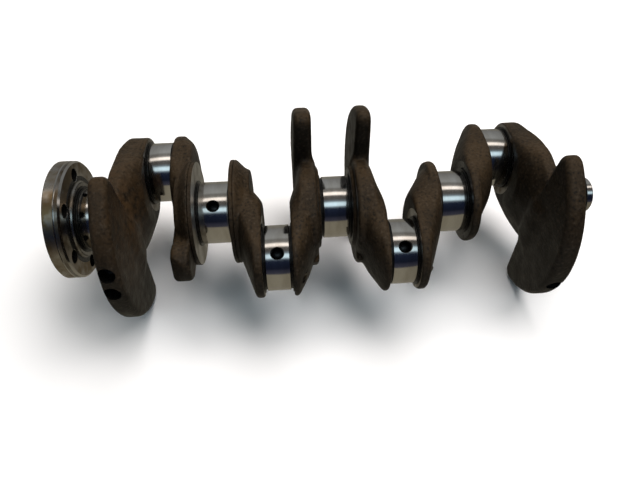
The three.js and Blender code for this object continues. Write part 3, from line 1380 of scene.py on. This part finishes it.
def webs() -> list[Web]:
    """Lists the eight webs.

    Returns:
        The webs, from the flange to the nose.
    """
    weighted, plain = WebKind.WEIGHTED, WebKind.PLAIN
    spine, root = Spine(), ThrustRoot()
    second_toe = [(0, 12), (6, 26), (9.1, 36.5), (16.5, 48), (24, 48)]
    third_toe = [(0, 0.5), (3, 0.5), (17.5, 48), (24, 48)]
    seventh_toe = [(0, 6), (6.8, 25), (17.5, 48), (24, 48)]
    rear_arm = end_arm([(2.5, 20), (4.1, 28), (7, 48), (24, 48)], [(2.5, 39), (4.1, 37), (7, 30)])
    front_arm = end_arm([(2.5, 6.5), (6.2, 22.8), (10.4, 48)], [(2.5, 41.5), (6.2, 38), (10.4, 30)])
    return [
        Web(1, 1, weighted, rear_arm, Counterweight(), spine, balance_angles=(7.5, 20.0)),
        Web(2, 1, WebKind.LUGGED, plain_arm(6.0, second_toe), root=root, face=6.0),
        Web(3, 2, plain, plain_arm(3.0, third_toe), root=root, face=3.0),
        Web(4, 2, weighted, middle_arm(), Counterweight(end=20.6)),
        Web(5, 3, weighted, middle_arm(), Counterweight(end=18.6)),
        Web(6, 3, plain, plain_arm(0.0)),
        Web(7, 4, plain, plain_arm(0.0, seventh_toe)),
        Web(8, 4, weighted, front_arm, Counterweight(), spine, balance_angles=(-9.5,)),
    ]


# ---- Ends, thrust faces and plugs ----
class FlangeFinish(IntEnum):
    """The finishes of the rear flange, as its outline numbers them."""

    FILMED = 0
    OILY = 1
    TURNED = 2
    GROUND = 3


class ThrustFinish(IntEnum):
    """The finishes of a thrust face, as its outline numbers them."""

    STEEL = 0
    FORGED = 1


@dataclass(frozen=True)
class RearFlange:
    """The rear flange that carries the flywheel, with its boss."""

    node: str = "rear_flange"
    boss_node: str = "flange_boss"
    step_share: float = 0.62
    step_depth: float = 0.5
    line_width: float = 0.5
    band_drop: float = 0.1
    face_ring: float = 2.0
    chamfer: float = 0.9
    front_chamfer: float = 1.44
    pilot_radius: float = 18.0
    pilot_depth: float = 8.0
    bolt_hole: float = 10.5
    bolt_distance: float = 36.8
    bolt_count: int = 6
    bolt_bevel: float = 0.4
    overrun: float = 6.0
    boss_fillet: float = 0.8
    boss_edge: float = 0.3
    sides: int = 192

    def build(self, finishes: Finishes) -> None:
        """Builds the flange and its boss and puts them in their nodes' places.

        Args:
            finishes: The shared materials.
        """
        low, high = (Vector(corner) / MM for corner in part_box(self.node))
        radius = (high.z - low.z) / 2
        width = high.x - low.x
        start = Vector((low.x, 0, 0))
        step = width * self.step_share
        c = self.chamfer
        inner = radius - self.step_depth
        runs = [
            Run([(self.pilot_depth, 0), (self.pilot_depth, self.pilot_radius)], FlangeFinish.OILY),
            Run([(c, self.pilot_radius), (0, self.pilot_radius + c)], FlangeFinish.FILMED),
            Run([(0, radius - c), (c, radius)], FlangeFinish.FILMED),
            Run([(step, radius)], FlangeFinish.FILMED),
            Run([(step + self.line_width, inner)], FlangeFinish.GROUND),
            Run([(step + 2 * self.line_width, radius - self.band_drop)], FlangeFinish.GROUND),
            Run([(width - self.front_chamfer, radius - self.band_drop)], FlangeFinish.TURNED),
            Run([(width, radius - self.front_chamfer)], FlangeFinish.GROUND),
            Run([(width, self.bolt_distance - self.face_ring)], FlangeFinish.FILMED),
            Run([(width, 0)], FlangeFinish.OILY),
        ]
        piece = turned(
            f"{self.node}_turned", runs,
            [finishes.flange, finishes.groove, finishes.turned, finishes.ground], start, ALONG,
            self.sides,
        )
        tools = []
        for i in range(self.bolt_count):
            angle = 2 * math.pi * i / self.bolt_count
            spoke = Vector((0, -math.cos(angle), math.sin(angle)))
            place = Vector((high.x, 0, 0)) + self.bolt_distance * spoke
            drill = Drill(place, ALONG, self.bolt_hole, width + self.overrun, self.bolt_bevel)
            tools.append(drill.tool(finishes.groove, finishes.turned))
        cut(piece, tools)
        smoothed(piece)
        keep(piece, self.node)
        self.build_boss(finishes)

    def build_boss(self, finishes: Finishes) -> None:
        """Builds the boss between the flange and the rear main journal.

        Args:
            finishes: The shared materials.
        """
        low, high = (Vector(corner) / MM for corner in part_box(self.boss_node))
        radius = (high.z - low.z) / 2
        width = high.x - low.x
        fillet = [
            (width * (1 - math.cos(t)), radius - width * self.boss_fillet * math.sin(t))
            for t in (math.radians(15 * n) for n in range(1, 7))
        ]
        runs = [
            Run([(0, 0), (0, radius), (self.boss_edge, radius)]),
            Run([*fillet, (width, 0)]),
        ]
        piece = turned(
            f"{self.boss_node}_turned", runs, [finishes.turned],
            Vector((low.x, 0, 0)), ALONG,
        )
        keep(piece, self.boss_node)


@dataclass(frozen=True)
class Nose:
    """The short ground nose with its bolt hole."""

    node: str = "nose"
    chamfer: float = 1.1
    bolt_hole: float = 11.0
    relief: float = 1.2
    relief_depth: float = 0.5
    relief_slope: float = 0.2
    bore_end: float = 2.0
    bore_chamfer: float = 0.8

    def build(self, finishes: Finishes) -> None:
        """Builds the nose and puts it in its node's place.

        Args:
            finishes: The shared materials.
        """
        low, high = (Vector(corner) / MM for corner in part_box(self.node))
        radius = (high.z - low.z) / 2
        length = high.x - low.x
        bore = self.bolt_hole / 2
        c = self.chamfer
        runs = [
            Run([(self.bore_end, 0), (self.bore_end, bore)], JournalFinish.OILY),
            Run([(length - self.bore_chamfer, bore)], JournalFinish.OILY),
            Run([(length, bore + self.bore_chamfer)], JournalFinish.OILY),
            Run([(length, radius - c), (length - c, radius)], JournalFinish.GROUND),
            Run([(self.relief, radius)], JournalFinish.GROUND),
            Run([(self.relief - self.relief_slope, radius - self.relief_depth)], JournalFinish.GROUND),
            Run([(0, radius - self.relief_depth), (0, 0)], JournalFinish.OILY),
        ]
        piece = turned(
            f"{self.node}_ground", runs, [finishes.ground, finishes.groove],
            Vector((low.x, 0, 0)), ALONG,
        )
        keep(piece, self.node)


@dataclass(frozen=True)
class ThrustFace:
    """A thrust face of the second main bearing, ground on its outer side."""

    node: str
    outwards: int
    edge: float = 0.5

    def build(self, finishes: Finishes) -> None:
        """Builds the face and puts it in its node's place.

        Args:
            finishes: The shared materials.
        """
        low, high = (Vector(corner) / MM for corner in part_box(self.node))
        radius = (high.z - low.z) / 2
        width = high.x - low.x
        start = low.x if self.outwards > 0 else high.x
        runs = [
            Run([(0, 0), (0, radius - self.edge), (self.edge, radius)], ThrustFinish.FORGED),
            Run([(width - self.edge, radius), (width, radius - self.edge)], ThrustFinish.FORGED),
            Run([(width, 0)], ThrustFinish.STEEL),
        ]
        piece = turned(
            f"{self.node}_ground", runs, [finishes.thrust, finishes.forged],
            Vector((start, 0, 0)), Vector((self.outwards, 0, 0)), 192,
        )
        keep(piece, self.node)


@dataclass(frozen=True)
class GalleryPlug:
    """A plug pressed into the outer end of an oil gallery, just below the forging's skin."""

    number: int
    feed_ahead: int
    diameter: float = 9.0
    length: float = 5.0
    dish: float = 0.9
    dish_rim: float = 0.6
    dish_floor: float = 0.3
    edge: float = 0.4
    recess: float = 0.8
    clearance: float = 0.05
    pitch: float = 94.0
    reach: float = 60.0
    crease: float = 50.0
    sides: int = 48

    def web(self) -> Piece:
        """The web that the plug is pressed into."""
        return bpy.data.objects[f"web_{2 * self.number - (self.feed_ahead < 0)}_forged"]

    def seat(self, web: Piece, centre: Vector, way: Vector) -> Vector:
        """Where the plug's inner end stands.

        Args:
            web: The plug's web.
            centre: A point on the gallery's line, in millimetres.
            way: The gallery's direction, outwards.

        Returns:
            The place of the inner end, in millimetres.
        """
        bpy.context.view_layer.update()
        inwards = web.matrix_world.inverted()
        start = inwards @ ((centre + way * self.reach) * MM)
        found, place, _, _ = web.ray_cast(start, inwards.to_3x3() @ -way)
        mouth = web.matrix_world @ place / MM if found else centre + way * self.length / 2
        return mouth - way * (self.recess + self.length)

    def build(self, finishes: Finishes) -> None:
        """Bores the web, builds the plug and puts it in its node's place.

        Args:
            finishes: The shared materials.
        """
        node = f"oil_gallery_plug_{self.number}"
        low, high = (Vector(corner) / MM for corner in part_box(node))
        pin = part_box(f"crankpin_{self.number}")
        throw = (pin[0].y + pin[1].y) / 2 / MM
        way = Vector((self.feed_ahead * self.pitch / 2, throw, 0)).normalized()
        web = self.web()
        start = self.seat(web, (low + high) / 2, way)
        bore = Drill(
            start + way * self.length, way, self.diameter + 2 * self.clearance,
            self.length + self.clearance, bevel=0.0, overrun=4.0,
        )
        cut(web, [bore.tool(finishes.groove, finishes.turned)])
        smoothed(web, self.crease)
        radius = self.diameter / 2
        runs = [
            Run([(0, 0), (0, radius - self.edge), (self.edge, radius)]),
            Run([(self.length - self.edge, radius), (self.length, radius - self.edge)]),
            Run([(self.length, radius * self.dish_rim)]),
            Run([(self.length - self.dish, radius * self.dish_floor)]),
            Run([(self.length - self.dish, 0)]),
        ]
        piece = turned(f"{node}_pressed", runs, [finishes.plug], start, way, self.sides)
        keep(piece, node)


# ---- Studio ----
@dataclass(frozen=True)
class Studio:
    """A pale floor under a dome of soft boxes that run the length of the shaft."""

    floor_reach: float = 4.0
    camera_at: tuple[float, float, float] = (-0.034667, -0.290649, 0.346447)
    fall: float = 53.31
    yaw: float = 4.62
    roll: float = 0.71
    lens: float = 30.88
    clip_start: float = 0.01
    end_light: float = 0.12
    room: Colour = (0.93, 0.93, 0.93)
    lamp_size: tuple[float, float] = (1.7, 1.0)
    lamp_power: float = 36.0
    lamp_at: tuple[float, float, float] = (0.42, 0.38, 1.45)

    def floor(self) -> None:
        """Lays the floor under the counterweights."""
        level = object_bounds()[0][2]
        reach = self.floor_reach
        corners = [(-reach, -reach), (reach, -reach), (reach, reach), (-reach, reach)]
        points = np.array([(x, y, level) for x, y in corners])
        floor = object_of("floor", points, [(0, 1, 2, 3)], [PaperFloor().material()])
        floor.visible_glossy = False
        floor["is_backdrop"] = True

    def dome(self) -> None:
        """Lights the scene from soft boxes, ordered by their angle over the front horizon."""
        bands = [
            (-180, (0.24, 0.23, 0.20)), (-60, (0.26, 0.235, 0.175)), (-7, (0.26, 0.235, 0.175)),
            (-5, (0.055, 0.055, 0.075)), (10, (0.030, 0.032, 0.052)), (14, (0.010, 0.013, 0.026)),
            (44, (0.012, 0.018, 0.042)), (50, (0.25, 0.32, 0.38)), (54, (1.05, 1.35, 1.50)),
            (64, (1.05, 1.35, 1.50)), (70, (0.22, 0.27, 0.30)), (78, (0.11, 0.105, 0.10)),
            (92, (0.13, 0.12, 0.11)), (96, (1.9, 1.75, 1.6)), (104, (1.9, 1.75, 1.6)),
            (109, (0.28, 0.27, 0.25)), (120, (0.22, 0.215, 0.20)), (128, (0.40, 0.41, 0.40)),
            (180, (0.24, 0.24, 0.235)),
        ]
        world = bpy.data.worlds.new("studio_dome")
        bpy.context.scene.world = world
        world.use_nodes = True
        tree = world.node_tree
        back = tree.nodes["Background"]
        place = tree.nodes.new("ShaderNodeTexCoord")
        split = tree.nodes.new("ShaderNodeSeparateXYZ")
        forward = tree.nodes.new("ShaderNodeMath")
        forward.operation = "MULTIPLY"
        forward.inputs[1].default_value = -1
        angle = tree.nodes.new("ShaderNodeMath")
        angle.operation = "ARCTAN2"
        share = tree.nodes.new("ShaderNodeMapRange")
        share.inputs["From Min"].default_value = -math.pi
        share.inputs["From Max"].default_value = math.pi
        ramp = tree.nodes.new("ShaderNodeValToRGB")
        tree.links.new(place.outputs["Generated"], split.inputs[0])
        tree.links.new(split.outputs["Y"], forward.inputs[0])
        tree.links.new(split.outputs["Z"], angle.inputs[0])
        tree.links.new(forward.outputs[0], angle.inputs[1])
        tree.links.new(angle.outputs[0], share.inputs["Value"])
        tree.links.new(share.outputs[0], ramp.inputs["Fac"])
        tree.links.new(ramp.outputs["Color"], back.inputs["Color"])
        stops = ramp.color_ramp.elements
        while len(stops) < len(bands):
            stops.new(0.5)
        for stop, (degrees, colour) in zip(stops, bands):
            stop.position = (degrees + 180) / 360
            stop.color = (*colour, 1)
        # The room is darker towards both ends of the shaft.
        square = tree.nodes.new("ShaderNodeMath")
        square.operation = "MULTIPLY"
        tree.links.new(split.outputs["X"], square.inputs[0])
        tree.links.new(split.outputs["X"], square.inputs[1])
        dim = tree.nodes.new("ShaderNodeMapRange")
        dim.inputs["To Min"].default_value = 1.0
        dim.inputs["To Max"].default_value = self.end_light
        tree.links.new(square.outputs[0], dim.inputs["Value"])
        tree.links.new(dim.outputs[0], back.inputs["Strength"])
        # Past the edge of the floor the room itself looks as pale as the floor.
        pale = tree.nodes.new("ShaderNodeBackground")
        pale.inputs["Color"].default_value = (*self.room, 1)
        choice = tree.nodes.new("ShaderNodeMixShader")
        seen = tree.nodes.new("ShaderNodeLightPath").outputs["Is Camera Ray"]
        tree.links.new(seen, choice.inputs["Fac"])
        tree.links.new(back.outputs[0], choice.inputs[1])
        tree.links.new(pale.outputs[0], choice.inputs[2])
        tree.links.new(choice.outputs[0], tree.nodes["World Output"].inputs["Surface"])

    def sun(self) -> None:
        """A broad soft lamp over the back and the nose's side, which whitens the floor."""
        lamp = bpy.data.lights.new("soft_lamp", "AREA")
        lamp.shape = "RECTANGLE"
        lamp.size, lamp.size_y = self.lamp_size
        lamp.energy = self.lamp_power
        holder = bpy.data.objects.new("soft_lamp", lamp)
        place = Vector(self.lamp_at)
        holder.location = place
        holder.rotation_euler = (-place).to_track_quat("-Z", "Y").to_euler()
        holder.visible_glossy = False
        bpy.context.scene.collection.objects.link(holder)

    def camera(self) -> None:
        """Sets the camera."""
        fall, yaw, roll = (math.radians(a) for a in (self.fall, self.yaw, self.roll))
        ahead = Vector((
            math.sin(yaw) * math.cos(fall), math.cos(yaw) * math.cos(fall), -math.sin(fall),
        ))
        right = Vector((math.cos(yaw), -math.sin(yaw), 0))
        up = right.cross(ahead)
        turned_right = math.cos(roll) * right + math.sin(roll) * up
        turned_up = -math.sin(roll) * right + math.cos(roll) * up
        data = bpy.data.cameras.new("camera")
        data.lens = self.lens
        data.clip_start = self.clip_start
        camera = bpy.data.objects.new("camera", data)
        matrix = Matrix((turned_right, turned_up, -ahead)).transposed().to_4x4()
        matrix.translation = Vector(self.camera_at)
        camera.matrix_world = matrix
        bpy.context.scene.collection.objects.link(camera)
        bpy.context.scene.camera = camera

    def build(self) -> None:
        """Sets the floor, the lights and the camera."""
        self.floor()
        self.dome()
        self.sun()
        self.camera()
        bpy.context.scene.view_settings.view_transform = "Standard"


def main() -> None:
    """Builds the crankshaft kind by kind, from the rear to the nose, and then the studio."""
    logging.basicConfig(level=logging.INFO, format="%(name)s: %(message)s")
    finishes = Finishes.made()
    hole_angles = {2: 62.0, 3: 242.0, 4: 242.0}
    for number in range(1, 6):
        MainJournal(f"main_journal_{number}", hole_angle=hole_angles.get(number)).build(finishes)
    for number in range(1, 5):
        Crankpin(f"crankpin_{number}").build(finishes)
    for web in webs():
        web.build(finishes)
    RearFlange().build(finishes)
    Nose().build(finishes)
    ThrustFace("thrust_face_rear", 1).build(finishes)
    ThrustFace("thrust_face_front", -1).build(finishes)
    for number, ahead in ((1, -1), (2, 1), (3, 1), (4, 1)):
        GalleryPlug(number, ahead).build(finishes)
    Studio().build()


if __name__ == "__main__":
    main()
